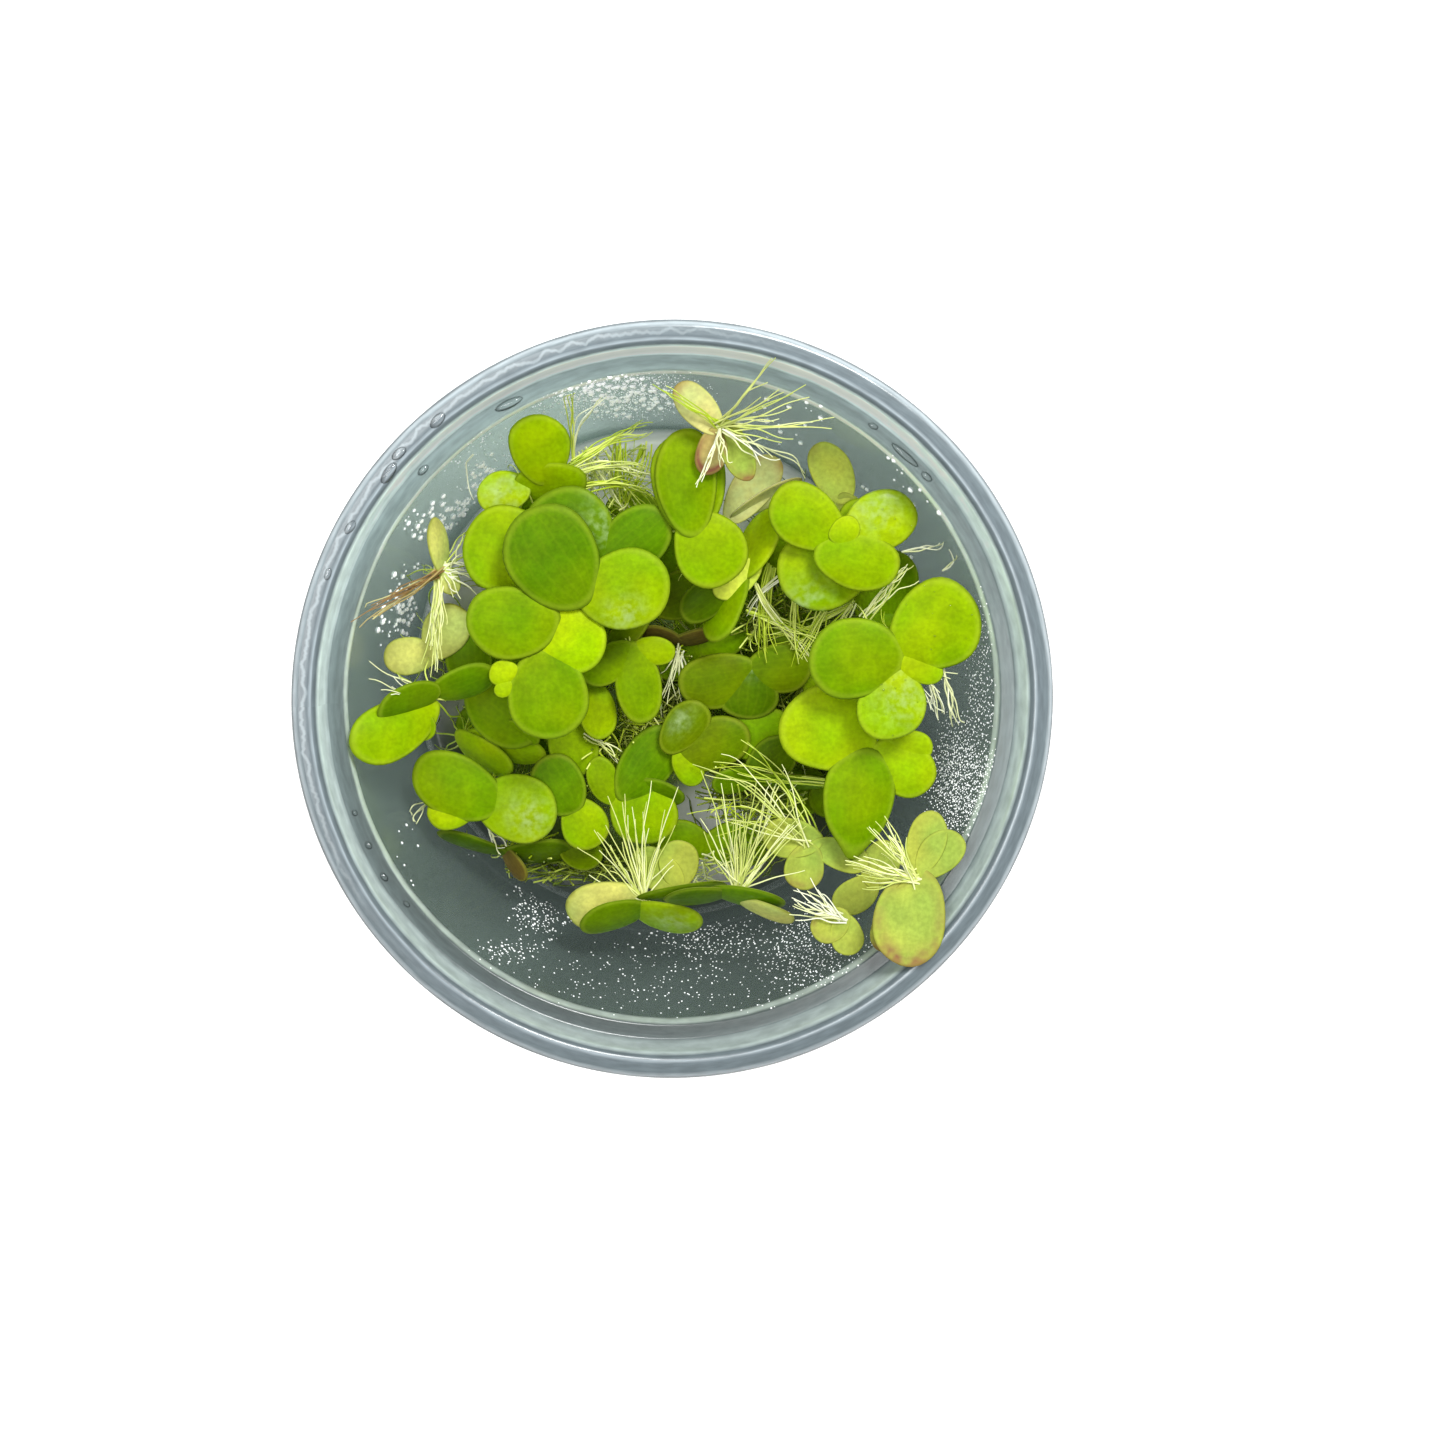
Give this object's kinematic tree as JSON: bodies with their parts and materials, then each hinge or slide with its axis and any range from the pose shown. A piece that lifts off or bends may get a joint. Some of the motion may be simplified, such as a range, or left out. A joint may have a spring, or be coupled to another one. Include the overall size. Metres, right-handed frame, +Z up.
{
  "type": "bowl of giant duckweed",
  "caption": "Small round clear plastic cup heaped with damp giant duckweed plants, rounded green fronds with pale underside fronds and root tufts among them.",
  "frame": {"origin": "middle of the cup's base, on the plane of its foot ring", "axes": "+Z up along the cup's axis. +X is to the right and +Y is away from the viewer in the picture."},
  "size_m": [0.08, 0.08, 0.0363],
  "materials": {
    "cup_plastic": "thin clear plastic with a faint blue-grey cast, lightly frosted",
    "water_drops": "small clear drops of condensed water",
    "frond_bright": "waxy living leaf, bright yellow-green",
    "frond_mid": "waxy living leaf, mid green",
    "frond_dark": "waxy living leaf, darker green",
    "frond_olive": "waxy ageing leaf, olive green",
    "frond_underside": "damp pale green underside, reddish at some edges",
    "root_tuft": "damp hair-thin roots, pale yellow-white to green"
  },
  "bodies": {
    "root": {"cup": "cup_plastic", "bottom_plant_1": "frond_mid", "bottom_plant_2": "frond_mid", "bottom_plant_3": "frond_mid", "bottom_plant_4": "frond_mid", "bottom_plant_5": "frond_mid", "bottom_plant_6": "frond_mid", "bottom_plant_7": "frond_mid", "bottom_plant_8": "frond_mid", "bottom_plant_9": "frond_mid", "middle_plant_1": "frond_mid", "middle_plant_2": "frond_mid", "middle_plant_3": "frond_mid", "middle_plant_4": "frond_mid", "middle_plant_5": "frond_mid", "middle_plant_6": "frond_mid", "middle_plant_7": "frond_mid", "middle_plant_8": "frond_mid", "middle_plant_9": "frond_mid", "middle_plant_10": "frond_mid", "middle_plant_11": "frond_mid", "middle_plant_12": "frond_mid", "low_left_edge": "frond_dark", "low_left_pair": "frond_mid", "low_left_inner": "frond_mid", "low_left_yellow": "frond_bright", "low_middle_brown": "frond_olive", "low_middle_olive": "frond_olive", "low_middle_pair": "frond_bright", "low_right_olive": "frond_olive", "low_right_narrow": "frond_dark", "low_pale_middle": "frond_underside", "left_edge_pair": "frond_bright", "centre_pair": "frond_olive", "centre_small": "frond_bright", "centre_left": "frond_mid", "left_under": "frond_mid", "centre_strip": "frond_dark", "left_wall_old": "frond_underside", "left_wall_rooted": "frond_mid", "left_wall_pair": "frond_bright", "top_left_wall": "frond_bright", "bottom_right_low": "frond_underside", "bottom_right_round": "frond_underside", "bottom_right_wall": "frond_underside", "top_wet_plant": "frond_underside", "top_olive_plant": "frond_olive", "large_left_lower": "frond_bright", "large_back": "frond_dark", "left_trio": "frond_mid", "large_left": "frond_dark", "right_lower_trio": "frond_bright", "right_upper_trio": "frond_bright", "top_right_lower": "frond_bright", "top_right_trio": "frond_bright", "top_middle_pair": "frond_bright", "tipped_left": "frond_dark", "tipped_right": "frond_dark", "large_bottom_right": "frond_underside", "upturned_top": "frond_underside"}
  },
  "joints": []
}
